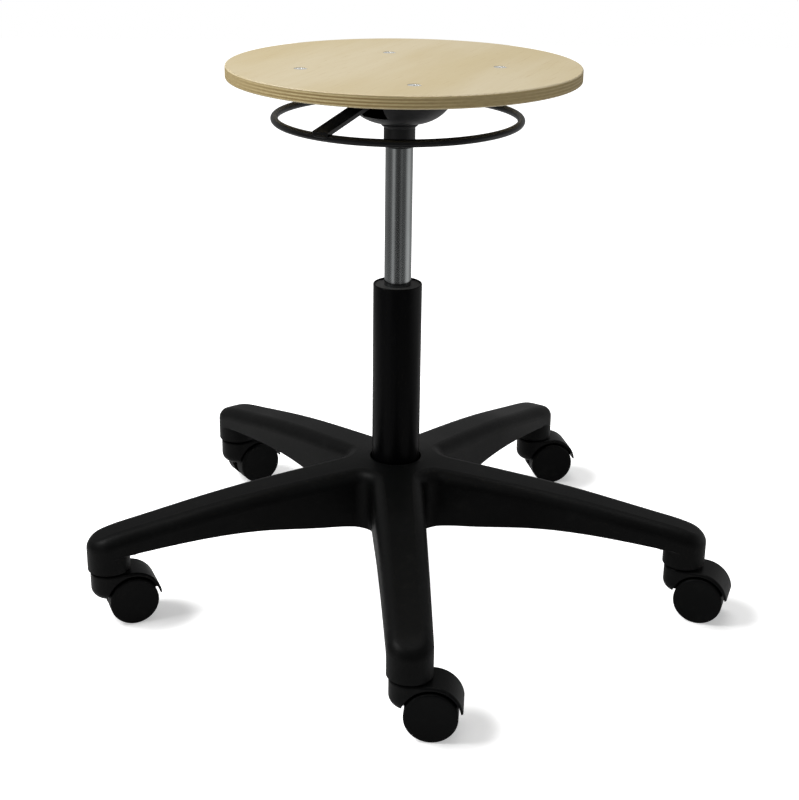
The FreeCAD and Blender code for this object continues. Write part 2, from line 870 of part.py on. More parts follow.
def pin_clips():
    mouth_half = pin_r - clip_groove
    clips = []
    for ring in clip_rings(clip_r):
        mouth = bar(arm_pivot_r - mouth_half, arm_pivot_r + mouth_half,
                    -pin_half(), pin_half(), pivot_z - 2.0 * clip_r, pivot_z)
        clips.append(spun(ring.cut(mouth), arm_heading_deg))
    return clips


# Casters, made with the stem on the Z axis and the wheels trailing along +X


def across(radius, low_y, high_y, x, z):
    """A cylinder that lies along Y."""
    return Part.makeCylinder(radius, high_y - low_y, Vector(x, low_y, z), Vector(0, 1, 0))


def caster_hood():
    """Barrel in front, roof over both wheels and the web between them, in one moulding."""
    half = hood_half_width
    tip_z = axle_z + hood_tip_rise
    reach = math.sqrt(hood_outer_r ** 2 - hood_tip_rise ** 2)
    drop = hood_top - tip_z
    roof_r = (reach ** 2 + drop ** 2) / (2.0 * drop)
    slant = roof_r * math.sqrt(0.5)
    top = Vector(caster_trail, -half, hood_top)
    knee = Vector(caster_trail + slant, -half, hood_top - roof_r + slant)
    tip = Vector(caster_trail + reach, -half, tip_z)
    edges = [
        Part.makeLine(Vector(0, -half, tip_z), Vector(0, -half, hood_top)),
        Part.makeLine(Vector(0, -half, hood_top), top),
        Part.Arc(top, knee, tip).toShape(),
        Part.makeLine(tip, Vector(0, -half, tip_z)),
    ]
    roof = Part.Face(Part.Wire(Part.__sortEdges__(edges))).extrude(Vector(0, 2.0 * half, 0))
    barrel = disc(half, barrel_bottom, hood_top)
    low_rim = [e for e in barrel.Edges if e.BoundBox.ZMax < barrel_bottom + close]
    barrel = barrel.makeFillet(barrel_round, low_rim)
    body = roof.fuse(barrel).removeSplitter()
    rims = []
    for edge in body.Edges:
        box = edge.BoundBox
        on_side = abs(box.YMin - box.YMax) < close and abs(abs(box.YMin) - half) < close
        along_roof = on_side and box.XMax - box.XMin > hood_wall and box.ZMax > tip_z + hidden
        around_end = box.ZMin > hood_top - close and box.XMin < -hidden
        if along_roof or around_end:
            rims.append(edge)
    body = body.makeFillet(hood_edge_r, rims)
    boss = across(axle_boss_r, -0.5 * caster_web, 0.5 * caster_web, caster_trail, axle_z)
    web = bar(0, caster_trail, -0.5 * caster_web, 0.5 * caster_web, barrel_bottom, hood_top - hood_wall)
    body = body.multiFuse([boss, web])
    for low_y, high_y in ((0.5 * caster_web, 2.0 * half), (-2.0 * half, -0.5 * caster_web)):
        body = body.cut(across(hood_inner_r, low_y, high_y, caster_trail, axle_z))
    body = body.cut(across(axle_r, -half, half, caster_trail, axle_z))
    hole_low = collar_z - stem_spigot - hidden
    return body.cut(disc(stem_spigot_r + stem_fit, hole_low, hood_top + hidden)).removeSplitter()


def wheel_inner_y():
    return 0.5 * caster_web + wheel_side_gap


def caster_axle():
    reach = wheel_inner_y() + axle_reach
    return across(axle_r, -reach, reach, caster_trail, axle_z)


def caster_wheel():
    """A wheel along +Y: tread and dished face outside, hub and ribs inside."""
    inner = wheel_inner_y()
    outer = inner + wheel_width
    body = across(wheel_r, inner, outer, 0, 0)
    rim = [e for e in body.Edges if e.Closed and e.BoundBox.YMin > outer - close]
    inner_rim = [e for e in body.Edges if e.Closed and e.BoundBox.YMax < inner + close]
    body = body.makeFillet(wheel_edge_r, rim).makeFillet(0.5 * wheel_edge_r, inner_rim)
    dish_r = (wheel_dish_edge_r ** 2 + wheel_dish ** 2) / (2.0 * wheel_dish)
    dish = Part.makeSphere(dish_r, Vector(0, outer - wheel_dish + dish_r, 0))
    body = body.cut(dish)
    floor_y = outer - wheel_dish - wheel_wall
    hollow = across(wheel_r - wheel_rim_wall, inner - hidden, floor_y, 0, 0)
    hollow = hollow.cut(across(wheel_hub_r, inner - hidden, outer, 0, 0))
    spoke = bar(0, wheel_r, inner + hidden, outer, -0.5 * wheel_rib, 0.5 * wheel_rib)
    for k in range(wheel_rib_count):
        rib = spoke.copy()
        rib.rotate(Vector(0, 0, 0), Vector(0, 1, 0), 360.0 * k / wheel_rib_count)
        hollow = hollow.cut(rib)
    body = body.cut(hollow)
    bore = across(axle_r + axle_fit, inner - hidden, inner + axle_reach + axle_end_gap, 0, 0)
    return moved(body.cut(bore), caster_trail, 0, axle_z)


def mirrored_y(shape):
    return shape.mirror(Vector(0, 0, 0), Vector(0, 1, 0))


def caster_stem():
    """Stem with its collar on the hood, its spigot in the hood and its shank in the foot."""
    shank_top = foot_z + stem_length
    body = disc(stem_r, foot_z, shank_top)
    rim = [e for e in body.Edges if e.Closed and e.BoundBox.ZMin > shank_top - close]
    body = body.makeChamfer(stem_chamfer, rim)
    body = body.fuse(disc(stem_collar_r, collar_z, foot_z))
    body = body.fuse(disc(stem_spigot_r, collar_z - stem_spigot, collar_z))
    low = foot_z + grip_ring_rise
    groove = sleeve(stem_r + hidden, grip_groove_r, low, low + grip_ring_height)
    return body.cut(groove).removeSplitter()


def grip_ring():
    low = foot_z + grip_ring_rise
    ring = sleeve(stem_r + stem_socket_gap, grip_groove_r, low, low + grip_ring_height)
    half = 0.5 * grip_ring_gap
    return ring.cut(bar(0, 2.0 * stem_r, -half, half, low - hidden, low + 2.0 * grip_ring_height))


def at_leg(shape, k, heading_deg):
    """Turn a caster piece to its heading and stand it under the tip of leg k."""
    angle = math.radians(first_leg_deg + 360.0 * k / leg_count)
    turned_piece = spun(shape, heading_deg)
    return moved(turned_piece, stem_circle_r * math.cos(angle), stem_circle_r * math.sin(angle), 0)


# Write every sub-part

save("star_base", star_base())
save("stand_tube", stand_tube())
save("tube_bottom_plate", tube_bottom_plate())
save("guide_bush", guide_bush())
save("thrust_lower_race", sleeve(race_r, rod_r, lower_race_z, lower_race_z + race_thickness))
save("thrust_balls", thrust_balls())
save("thrust_ball_cage", thrust_ball_cage())
save("thrust_upper_race", sleeve(race_r, rod_end_r, upper_race_z, shoulder_z))
save("clip_washer", sleeve(clip_washer_r, rod_end_r, clip_washer_low(), clip_washer_top()))
save("rod_clip", rod_clip())
save("piston_rod", piston_rod())
save("piston", piston())
save("piston_seal", piston_seal())
save("bump_stop", bump_stop())
save("gas_cylinder", gas_cylinder())
save("rod_guide", sleeve(cylinder_inner_r, rod_r + rod_seal_fit, guide_z, seal_z))
save("rod_seal", sleeve(cylinder_inner_r, rod_r + rod_seal_fit, seal_z, inner_cylinder_z))
save("inner_cylinder", sleeve(inner_cylinder_r, inner_bore_r(), inner_cylinder_z, valve_z))
save("valve_body", valve_body())
save("valve_pin", valve_pin())
save("release_button", release_button())
save("taper_socket", taper_socket())
save("bowl_housing", bowl_housing())
save("mount_plate", mount_plate())
save("lever_bracket", lever_bracket())
save("lever_pivot_pin", lever_pivot_pin())
save("pin_clips", pin_clips())
save("ring_arm", ring_arm())
save("release_ring", spun(ring_torus(), arm_heading_deg))
save("seat_disc", seat_disc())
save("seat_screws", seat_screws())
save("seat_washers", seat_washers())
save("seat_nuts", seat_nuts())

hood = caster_hood()
axle = caster_axle()
stem = caster_stem()
wheel = caster_wheel()
save("caster_grip_rings", [at_leg(grip_ring(), k, 0.0) for k in range(leg_count)])
for k in range(leg_count):
    heading = caster_headings_deg[k]
    name = "caster_" + str(k + 1)
    save(name + "_stem", at_leg(stem, k, heading))
    save(name + "_hood", at_leg(hood, k, heading))
    save(name + "_axle", at_leg(axle, k, heading))
    save(name + "_wheel_left", at_leg(wheel, k, heading))
    save(name + "_wheel_right", at_leg(mirrored_y(wheel), k, heading))
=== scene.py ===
# %% [markdown]
# # A machinist stool, dressed for its portrait
#
# The construction comes ready made: every rigid piece is already solid, at its real size, with
# its joints. This lesson adds what the eye reads next: the camera, a plain white studio, the
# finish of each material, and the small modelled pieces that make a stool look made by hand
# and press, such as weld beads, screw heads and threads.

# %% Bring in the solid model
import math

import bpy
import numpy as np
from mathutils import Matrix, Vector


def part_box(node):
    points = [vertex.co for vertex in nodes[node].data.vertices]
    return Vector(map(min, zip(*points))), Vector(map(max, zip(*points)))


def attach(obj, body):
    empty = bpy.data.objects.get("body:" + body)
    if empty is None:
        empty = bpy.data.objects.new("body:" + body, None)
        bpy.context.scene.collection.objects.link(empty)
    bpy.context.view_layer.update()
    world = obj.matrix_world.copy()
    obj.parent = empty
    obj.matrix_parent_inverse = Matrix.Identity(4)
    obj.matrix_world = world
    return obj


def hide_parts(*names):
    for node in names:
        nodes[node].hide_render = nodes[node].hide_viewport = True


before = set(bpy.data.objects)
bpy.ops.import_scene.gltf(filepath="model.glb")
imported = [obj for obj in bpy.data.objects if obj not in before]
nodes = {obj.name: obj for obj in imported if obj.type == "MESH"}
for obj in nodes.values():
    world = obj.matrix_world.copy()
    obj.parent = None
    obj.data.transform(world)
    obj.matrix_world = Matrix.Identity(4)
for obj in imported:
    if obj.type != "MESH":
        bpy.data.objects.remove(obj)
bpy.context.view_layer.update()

# %% [markdown]
# ## The camera
#
# The stool stands on the floor at height 0 and its column is the Z axis, so the camera's place
# follows from how the round seat and the casters look in the photograph. It could be aimed with
# a constraint, but three plain angles say the same and stay fixed: how far it looks down, how
# far it turns, and how far it leans. The picture is 799 by 800, so the lens is set against the
# taller side.

# %% Camera
camera_place = Vector((0.0, -1.54129, 0.80119))
camera_down_deg = 21.16
camera_turn_deg = -0.13
camera_lean_deg = 0.76
focal_px = 1550.7
picture_height_px = 800
sensor_mm = 36.0


def aim(place, down_deg, turn_deg, lean_deg):
    """Turn about Z, then look down, then lean about the line of sight."""
    turn = Matrix.Rotation(math.radians(turn_deg), 4, "Z")
    pitch = Matrix.Rotation(math.radians(90.0 - down_deg), 4, "X")
    lean = Matrix.Rotation(math.radians(lean_deg), 4, "Z")
    return Matrix.Translation(place) @ turn @ pitch @ lean


lens = bpy.data.cameras.new("camera")
lens.sensor_width = sensor_mm
lens.lens = sensor_mm * focal_px / picture_height_px
lens.clip_end = 60.0
camera = bpy.data.objects.new("camera", lens)
camera.matrix_world = aim(camera_place, camera_down_deg, camera_turn_deg, camera_lean_deg)
bpy.context.scene.collection.objects.link(camera)
bpy.context.scene.camera = camera
bpy.context.scene.view_settings.view_transform = "Standard"
print("lens", round(lens.lens, 2), "mm")

# %% [markdown]
# ## Surfaces from numbers
#
# Every new piece is a grid of points. A shape is written once as a formula of two parameters,
# numpy works out all its points together, and the grid becomes quads. A grid may close on
# itself sideways, as a tube does, and its two ends may be drawn together into a point, as the
# ends of a weld bead are.

# %% Grid surfaces


def grid_faces(rows, columns, wrap, loop=False):
    """Quads between neighbours; wrap joins the last column to the first, and loop the last row."""
    across = columns if wrap else columns - 1
    along = rows if loop else rows - 1
    i, j = np.meshgrid(np.arange(along), np.arange(across), indexing="ij")
    after = (j + 1) % columns
    below = (i + 1) % rows
    quads = np.stack([i * columns + j, i * columns + after, below * columns + after, below * columns + j], -1)
    return quads.reshape(-1, 4)


def fan_faces(first, columns, pole, outward):
    """Triangles from one closed row of points to a single point."""
    j = np.arange(columns)
    after = (j + 1) % columns
    rim, rim_after = first + j, first + after
    order = [rim_after, rim, np.full(columns, pole)] if outward else [rim, rim_after, np.full(columns, pole)]
    return np.stack(order, -1)


def mesh_object(name, points, faces, finish):
    """A smooth-shaded mesh object at the origin, from points and lists of faces."""
    mesh = bpy.data.meshes.new(name)
    mesh.from_pydata(points.tolist(), [], [face for group in faces for face in group.tolist()])
    mesh.polygons.foreach_set("use_smooth", np.ones(len(mesh.polygons), dtype=bool))
    mesh.materials.append(finish)
    mesh.update()
    made = bpy.data.objects.new(name, mesh)
    bpy.context.scene.collection.objects.link(made)
    print(name, len(points), "points")
    return made


def closed_sweep(grid):
    """A tube-like grid (rows, columns, xyz) whose columns wrap, with both ends closed by a fan."""
    rows, columns, _ = grid.shape
    points = np.concatenate([grid.reshape(-1, 3), grid[:1].mean(1), grid[-1:].mean(1)])
    start_pole, end_pole = rows * columns, rows * columns + 1
    faces = [
        grid_faces(rows, columns, True),
        fan_faces(0, columns, start_pole, True),
        fan_faces((rows - 1) * columns, columns, end_pole, False),
    ]
    return points, faces


def joined(parts):
    """Several (points, faces) pairs as one pair, each part's face numbers moved up."""
    points, faces, count = [], [], 0
    for part_points, part_faces in parts:
        points.append(part_points)
        faces.extend(group + count for group in part_faces)
        count += len(part_points)
    return np.concatenate(points), faces


# %% [markdown]
# ## Shader maths as plain expressions
#
# A material is a wiring of nodes, and long wirings are hard to read. Here a socket is wrapped so
# that `1 - mask` or `rings * 0.2 + base` adds the Math nodes by itself. One method makes any
# other node from its type, its settings and what goes into its sockets.

# %% Wiring


class Signal:
    """A number or colour that flows between nodes; arithmetic on it adds Math nodes."""

    def __init__(self, wiring, socket):
        self.wiring = wiring
        self.socket = socket

    def __add__(self, other):
        return self.wiring.maths("ADD", self, other)

    def __sub__(self, other):
        return self.wiring.maths("SUBTRACT", self, other)

    def __rsub__(self, other):
        return self.wiring.maths("SUBTRACT", other, self)

    def __mul__(self, other):
        return self.wiring.maths("MULTIPLY", self, other)

    __radd__ = __add__
    __rmul__ = __mul__


class Wiring:
    """The node tree of one finish, of the floor or of the room."""

    def __init__(self, tree):
        self.tree = tree

    def node(self, kind, settings=None, values=None, output=0):
        """Add a node: settings first, then values or links by socket name or number."""
        made = self.tree.nodes.new(kind)
        for key, value in (settings or {}).items():
            if key == "stops":
                self.set_stops(made.color_ramp, value)
            else:
                setattr(made, key, value)
        for key, value in (values or {}).items():
            self.feed(made.inputs[key], value)
        return Signal(self, made.outputs[output])

    def set_stops(self, ramp, stops):
        """Give a colour ramp its (place, colour) stops."""
        while len(ramp.elements) < len(stops):
            ramp.elements.new(1.0)
        for element, (place, colour) in zip(ramp.elements, stops):
            element.position = place
            element.color = colour

    def feed(self, socket, value):
        if isinstance(value, Signal):
            self.tree.links.new(value.socket, socket)
        else:
            socket.default_value = value

    def maths(self, operation, a, b):
        return self.node("ShaderNodeMath", {"operation": operation}, {0: a, 1: b})

    def mix(self, share, a, b):
        """Colour a where share is 0, colour b where it is 1."""
        return self.node("ShaderNodeMix", {"data_type": "RGBA"}, {0: share, 6: a, 7: b}, 2)

    def noise(self, vector, scale, detail=2.0, roughness=0.5):
        """Soft random clouds between about 0.3 and 0.7."""
        values = {"Vector": vector, "Scale": scale, "Detail": detail, "Roughness": roughness}
        return self.node("ShaderNodeTexNoise", {}, values)

    def between(self, value, low, high):
        """Stretch a range to 0..1, smoothly, and hold it there outside."""
        settings = {"interpolation_type": "SMOOTHSTEP"}
        return self.node("ShaderNodeMapRange", settings, {0: value, 1: low, 2: high})

    def place(self):
        return self.node("ShaderNodeTexCoord", output="Object")

    def stretched(self, vector, scale, turn_deg=0.0):
        """Coordinates turned about Z and then scaled along each axis."""
        values = {"Vector": vector, "Rotation": (0.0, 0.0, math.radians(turn_deg))}
        turned = self.node("ShaderNodeMapping", {"vector_type": "POINT"}, values)
        return self.node("ShaderNodeVectorMath", {"operation": "MULTIPLY"}, {0: turned, 1: scale})

    def axes(self, vector):
        """The three parts of a vector as signals."""
        parts = self.tree.nodes.new("ShaderNodeSeparateXYZ")
        self.feed(parts.inputs[0], vector)
        return [Signal(self, parts.outputs[k]) for k in range(3)]

    def bump(self, height, distance, strength=1.0):
        values = {"Height": height, "Distance": distance, "Strength": strength}
        return self.node("ShaderNodeBump", {}, values)


def paint(red, green, blue):
    """A colour as a screen shows it, 0 to 255, turned into the light values that shaders use."""
    parts = np.array([red, green, blue]) / 255.0
    linear = np.where(parts <= 0.04045, parts / 12.92, ((parts + 0.055) / 1.055) ** 2.4)
    return (*linear.tolist(), 1.0)


def new_finish(name, **constants):
    """A material with one Principled shader, and the shader's unchanging values."""
    material = bpy.data.materials.new(name)
    material.use_nodes = True
    wiring = Wiring(material.node_tree)
    shader = material.node_tree.nodes["Principled BSDF"]
    for key, value in constants.items():
        shader.inputs[key.replace("_", " ").title().replace("Ior", "IOR")].default_value = value
    return material, wiring, shader


# %% [markdown]
# ## The seat: birch plywood
#
# The seat is a disc of birch ply, varnished. Seen from above it is nearly one colour, with short
# faint streaks along the grain and soft cloudy patches. Its edge tells more: thin veneers lie
# crosswise in turn, and a veneer cut across its grain soaks up varnish and goes dark, while its
# neighbour, cut along its grain, stays pale. So the edge is worked out, not painted: the veneer
# number comes from the height, and how dark it is from the angle between its grain and the edge.

# %% Plywood finish
seat_low, seat_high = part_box("seat_disc")
seat_thickness = seat_high.z - seat_low.z
veneer = 0.0015
face_veneer = 0.0010
cross_ply_depth = 0.0038
grain_deg = 68.0
crosswise_contrast = 0.4
added_veneers = 20.0
top_pale = paint(214, 200, 167)
top_warm = paint(206, 189, 148)
edge_pale = paint(208, 190, 140)
edge_dark = paint(154, 130, 82)
glue_dark = paint(124, 98, 58)


def plywood():
    material, w, shader = new_finish("seat_plywood", coat_roughness=0.35, specular_ior_level=0.4)
    place = w.place()
    x, y, z = w.axes(place)
    along = w.stretched(place, (7.0, 90.0, 90.0), -grain_deg)
    fine = w.stretched(place, (30.0, 700.0, 700.0), -grain_deg)
    flame = w.stretched(place, (2.2, 9.0, 9.0), -grain_deg)
    clouds = w.between(w.noise(flame, 1.0, 3.0, 0.55), 0.35, 0.68)
    streaks = w.between(w.noise(along, 1.0, 4.0, 0.6), 0.3, 0.75)
    pores = w.between(w.noise(fine, 1.0, 2.0, 0.6), 0.60, 0.74)
    face = w.mix(clouds, top_pale, top_warm)
    face = w.mix(streaks * 0.22, face, paint(196, 176, 132))
    face = w.mix(pores * 0.30, face, paint(176, 150, 104))

    depth = seat_high.z - z
    # Whole pairs of veneers are added, so that the value that folds to and fro stays positive.
    from_cross_ply = depth + (added_veneers * veneer - cross_ply_depth)
    layer = w.node("ShaderNodeMath", {"operation": "PINGPONG"}, {0: from_cross_ply, 1: veneer})
    lengthwise = w.between(layer, 0.40 * veneer, 0.60 * veneer)
    before_middle = w.between(layer, 0.40 * veneer, 0.50 * veneer)
    glue_line = before_middle * (1 - w.between(layer, 0.50 * veneer, 0.60 * veneer))
    centre_x = 0.5 * (seat_low.x + seat_high.x)
    angle = w.node("ShaderNodeMath", {"operation": "ARCTAN2"}, {0: y, 1: x - centre_x})
    lie = w.node("ShaderNodeMath", {"operation": "COSINE"}, {0: (angle - math.radians(grain_deg)) * 2.0})
    crosswise = w.maths("MINIMUM", lie, 0.0) * crosswise_contrast + w.maths("MAXIMUM", lie, 0.0)
    end_grain = (1.0 - lengthwise * 2.0) * crosswise * 0.5 + 0.5
    ring = w.stretched(place, (160.0, 160.0, 900.0))
    fleck = w.between(w.noise(ring, 1.0, 3.0, 0.65), 0.35, 0.7)
    side = w.mix(end_grain, edge_pale, edge_dark)
    side = w.mix(fleck * 0.22 + glue_line * 0.25, side, glue_dark)

    near_top = 1 - w.between(depth, 0.9 * face_veneer, 1.1 * face_veneer)
    near_bottom = w.between(depth, seat_thickness - 1.1 * face_veneer, seat_thickness - 0.9 * face_veneer)
    flat = w.maths("MAXIMUM", near_top, near_bottom)
    w.feed(shader.inputs["Base Color"], w.mix(flat, side, face))
    w.feed(shader.inputs["Roughness"], 0.5 + pores * 0.12 + (1 - flat) * 0.12)
    w.feed(shader.inputs["Coat Weight"], flat * 0.25)
    relief = streaks * 0.4 + pores * -1.0
    w.feed(shader.inputs["Normal"], w.bump(relief, 0.00003))
    return material


# %% [markdown]
# ## Black moulded nylon
#
# The star base, the hoods and the wheels are moulded from nylon filled with glass fibre. Such a
# surface isn't smooth: the fibres leave a very fine, slightly cloudy skin that spreads a
# highlight into a soft sheen. A noise at two sizes gives that: a fine one moves the bump, a
# coarse one moves the roughness a little, so that the sheen is never quite even.

# %% Nylon finishes


def nylon(name, shade, rough, grain_size, grain_depth):
    """Black moulding; grain_size and grain_depth are the skin's texture in metres."""
    material, w, shader = new_finish(name, specular_ior_level=0.09)
    place = w.place()
    skin = w.noise(place, 1.0 / grain_size, 2.0, 0.6)
    flow = w.between(w.noise(w.stretched(place, (9.0, 9.0, 14.0)), 1.0, 3.0, 0.55), 0.3, 0.7)
    dust = w.between(w.noise(place, 55.0, 4.0, 0.7), 0.52, 0.80)
    base = w.mix(flow, paint(shade, shade, shade), paint(shade + 3, shade + 4, shade + 4))
    w.feed(shader.inputs["Base Color"], w.mix(dust * 0.05, base, paint(70, 70, 68)))
    w.feed(shader.inputs["Roughness"], rough + (flow - 0.5) * 0.08 + (skin - 0.5) * 0.15)
    w.feed(shader.inputs["Normal"], w.bump(skin, grain_depth))
    return material


# %% [markdown]
# ## Painted, plated and turned metal
#
# The stand tube, ring, arm and bowl are steel with a black satin powder coat. The powder melts
# into a very slight orange peel, so the finish is a dark colour with a gentle bump a few
# millimetres wide. The gas spring's cylinder is bare polished steel, drawn through a die: its
# marks run along it, so its noise is stretched along Z. The small parts are plain steel, brass
# and aluminium, and the screws are zinc plated; their near-white, half metallic colour is a
# painted reflection that makes them bright.

# %% Metal finishes


def powder_coat(name, shade, rough, gloss):
    material, w, shader = new_finish(name, specular_ior_level=gloss)
    place = w.place()
    peel = w.noise(place, 420.0, 2.0, 0.4)
    specks = w.between(w.noise(place, 1600.0, 1.0, 0.5), 0.62, 0.80)
    wear = w.between(w.noise(place, 38.0, 5.0, 0.7), 0.58, 0.82)
    base = w.mix(wear * 0.08, paint(shade, shade, shade + 1), paint(60, 61, 63))
    w.feed(shader.inputs["Base Color"], base)
    w.feed(shader.inputs["Roughness"], rough + wear * 0.10 + specks * 0.06)
    w.feed(shader.inputs["Normal"], w.bump(peel + specks * 0.15, 0.00006))
    return material


def drawn_steel(name, colour, rough, along_scale):
    """Bare metal with fine marks along Z."""
    material, w, shader = new_finish(name, metallic=1.0)
    place = w.place()
    lines = w.noise(w.stretched(place, (600.0, 600.0, along_scale)), 1.0, 2.0, 0.6)
    haze = w.between(w.noise(w.stretched(place, (60.0, 60.0, 12.0)), 1.0, 3.0, 0.6), 0.35, 0.7)
    tone = w.mix(haze, colour, tuple(part * 0.86 for part in colour[:3]) + (1.0,))
    w.feed(shader.inputs["Base Color"], tone)
    w.feed(shader.inputs["Roughness"], rough + (lines - 0.5) * 0.08 + haze * 0.04)
    w.feed(shader.inputs["Normal"], w.bump(lines, 0.0000005))
    return material


def turned_metal(name, colour, rough, metallic=1.0):
    """Small turned parts with a faint cloudy tarnish; a metallic below 1 mixes in a pale diffuse colour,
    which on the screws is a painted reflection.
    """
    material, w, shader = new_finish(name, metallic=metallic)
    place = w.place()
    cloud = w.between(w.noise(place, 240.0, 4.0, 0.65), 0.35, 0.72)
    darker = tuple(part * 0.72 for part in colour[:3]) + (1.0,)
    w.feed(shader.inputs["Base Color"], w.mix(cloud, colour, darker))
    w.feed(shader.inputs["Roughness"], rough + cloud * 0.12)
    w.feed(shader.inputs["Normal"], w.bump(w.noise(place, 1800.0, 2.0, 0.5), 0.000008))
    return material


# %% [markdown]
# The model names a finish for each piece already, so dressing it is one loop: look up the name
# that a piece came with, and hang the finished material in its place.

# %% Dress every solid piece
finishes = {
    "seat_plywood": plywood(),
    "base_nylon": nylon("base_nylon", 5, 0.46, 0.0011, 0.00009),
    "hood_nylon": nylon("hood_nylon", 6, 0.40, 0.0008, 0.00005),
    "wheel_nylon": nylon("wheel_nylon", 2, 0.50, 0.0009, 0.00004),
    "bush_plastic": nylon("bush_plastic", 58, 0.42, 0.0009, 0.00005),
    "black_rubber": nylon("black_rubber", 12, 0.70, 0.0007, 0.00006),
    "tube_black": powder_coat("tube_black", 3, 0.32, 0.06),
    "ring_black": powder_coat("ring_black", 6, 0.30, 0.25),
    "housing_black": powder_coat("housing_black", 22, 0.42, 0.25),
    "cylinder_steel": drawn_steel("cylinder_steel", paint(150, 153, 153), 0.16, 4.0),
    "rod_chrome": drawn_steel("rod_chrome", paint(205, 207, 210), 0.10, 4.0),
    "plain_steel": turned_metal("plain_steel", paint(150, 150, 148), 0.35),
    "bearing_steel": turned_metal("bearing_steel", paint(190, 190, 192), 0.16),
    "cage_brass": turned_metal("cage_brass", paint(196, 160, 92), 0.30),
    "piston_aluminium": turned_metal("piston_aluminium", paint(196, 198, 200), 0.28),
    # The screws' near-white colour, only half metallic, is a painted reflection that makes the heads bright.
    "screw_chrome": turned_metal("screw_chrome", paint(240, 240, 236), 0.22, 0.5),
}
for node_name, node in nodes.items():
    slot_name = node.material_slots[0].material.name.split(".")[0]
    node.material_slots[0].material = finishes[slot_name]
print("finishes:", len(finishes))

# %% [markdown]
# ## Four machine screws
#
# The mount plate hangs from four countersunk screws with a cross recess. A cut and a boolean
# would leave knife edges there, so each screw is one grid instead: its rows run from the tip up
# the thread, out along the cone and in over the head, and the recess is pressed into the rows on
# top. The thread is a groove that climbs by one pitch in each turn.

# %% Machine screws
screw_low, screw_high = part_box("seat_screws")
screw_circle = 0.0976
screw_turn_deg = 7.2
screw_count = 4
head_r = 0.0068
head_height = 0.0034
head_crown = 0.00026
shank_r = 0.0030
thread_pitch = 0.0010
thread_depth = 0.00045
recess_reach = 0.0031
recess_half = 0.00075
recess_depth = 0.0018
recess_slope = 0.0005
tip_height, tip_inset = 0.0004, 0.0007
plain_shank, neck_height = 0.0012, 0.0008
rim_height, rim_round = 0.0005, 0.0002
head_rows, innermost_r = 34, 0.00012
screw_columns = 96


def screw_profile():
    """Radius and height of each row: tip, thread, cone, rounded rim, then in over the head."""
    tip = screw_low.z
    top = screw_high.z
    neck = top - head_height
    thread = np.arange(tip + tip_height, neck - plain_shank, 0.25 * thread_pitch)
    bend = np.linspace(0.0, 0.5 * math.pi, 6)
    inward = np.linspace(head_r - rim_round, innermost_r, head_rows)[1:]
    radius = np.concatenate([
        [shank_r - tip_inset], np.full(len(thread), shank_r), [shank_r, shank_r], [head_r],
        head_r - rim_round + rim_round * np.cos(bend), inward,
    ])
    height = np.concatenate([
        [tip], thread, [neck - neck_height, neck], [top - rim_height],
        top - rim_round + rim_round * np.sin(bend), np.full(len(inward), top),
    ])
    return radius, height, len(thread)


def cross_recess(x, y):
    """Depth of the recess: the deeper of two crossing bars, each fading over a short slope."""
    def bar(across, along):
        side = np.clip((recess_half - np.abs(across)) / recess_slope + 0.5, 0.0, 1.0)
        end = np.clip((recess_reach - np.abs(along)) / recess_slope + 0.5, 0.0, 1.0)
        return side * end
    return recess_depth * np.maximum(bar(x, y), bar(y, x))


def machine_screw(turn_deg):
    """One screw: x = r cos(a), y = r sin(a), with its thread groove and its recess."""
    radius, height, thread_rows = screw_profile()
    angle = np.arange(screw_columns) * 2.0 * math.pi / screw_columns
    r, a = np.meshgrid(radius, angle, indexing="ij")
    z = np.repeat(height[:, None], screw_columns, 1)
    threaded = slice(1, 1 + thread_rows)
    climb = (z[threaded] / thread_pitch - a[threaded] / (2.0 * math.pi)) % 1.0
    r[threaded] = r[threaded] - thread_depth * np.abs(2.0 * climb - 1.0)
    x, y = r * np.cos(a), r * np.sin(a)
    on_head = z >= screw_high.z - 0.00001
    crown = head_crown * (1.0 - (r / head_r) ** 2)
    z = np.where(on_head, z + crown - cross_recess(x, y), z)
    turn = math.radians(turn_deg)
    centre = 0.5 * (screw_low + screw_high)
    x = x + centre.x + screw_circle * math.cos(turn)
    y = y + centre.y + screw_circle * math.sin(turn)
    return closed_sweep(np.stack([x, y, z], -1))


screw_turns = [screw_turn_deg + k * 360.0 / screw_count for k in range(screw_count)]
screw_parts = joined([machine_screw(turn) for turn in screw_turns])
screws = mesh_object("machine_screws", *screw_parts, finishes["screw_chrome"])
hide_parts("seat_screws")
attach(screws, "seat")

# %% [markdown]
# ## Weld beads
#
# Under the paint the welds still show as rows of overlapping scales. Here are the bead round the
# socket's neck, the two short beads that hold the arm on the release ring, and the low one where
# the ring was closed. A bead is a round section carried along its path, and the section swells
# and shrinks a little with every scale. The camera sees little of them, but a hand feels them.

# %% Weld beads
housing_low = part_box("bowl_housing")[0]
socket_low, socket_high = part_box("taper_socket")
ring_low, ring_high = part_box("release_ring")
ring_middle = 0.5 * (ring_low + ring_high)
ring_wire_r = 0.5 * (ring_high.z - ring_low.z)
ring_line_r = 0.5 * (ring_high.x - ring_low.x) - ring_wire_r
arm_heading_deg = 235.2
arm_width = 0.018
scale_length = 0.0016
scale_relief = 0.14
rows_per_scale = 6
bead_columns = 16
arm_bead_rows = 72
thinnest_end = 0.0004
closing_rows = 90
closing_columns = 12
closing_sink = 0.3
closing_spread = 2.2
# Where the two beads under the arm lie: radius from the wire's line, height, and thickness.
inner_bead = (-0.0034, 0.0028, 0.0016)
outer_bead = (0.0036, 0.0016, 0.0015)
closing_thickness = 0.0007


def bead_section(thickness, along, columns):
    """Offsets of the section: a circle whose radius swells and shrinks once in each scale."""
    share = (along / scale_length) % 1.0
    swell = thickness * (1.0 - scale_relief + scale_relief * np.sin(math.pi * share) ** 0.7)
    a = np.arange(columns) * 2.0 * math.pi / columns
    return swell[:, None] * np.cos(a)[None, :], swell[:, None] * np.sin(a)[None, :]


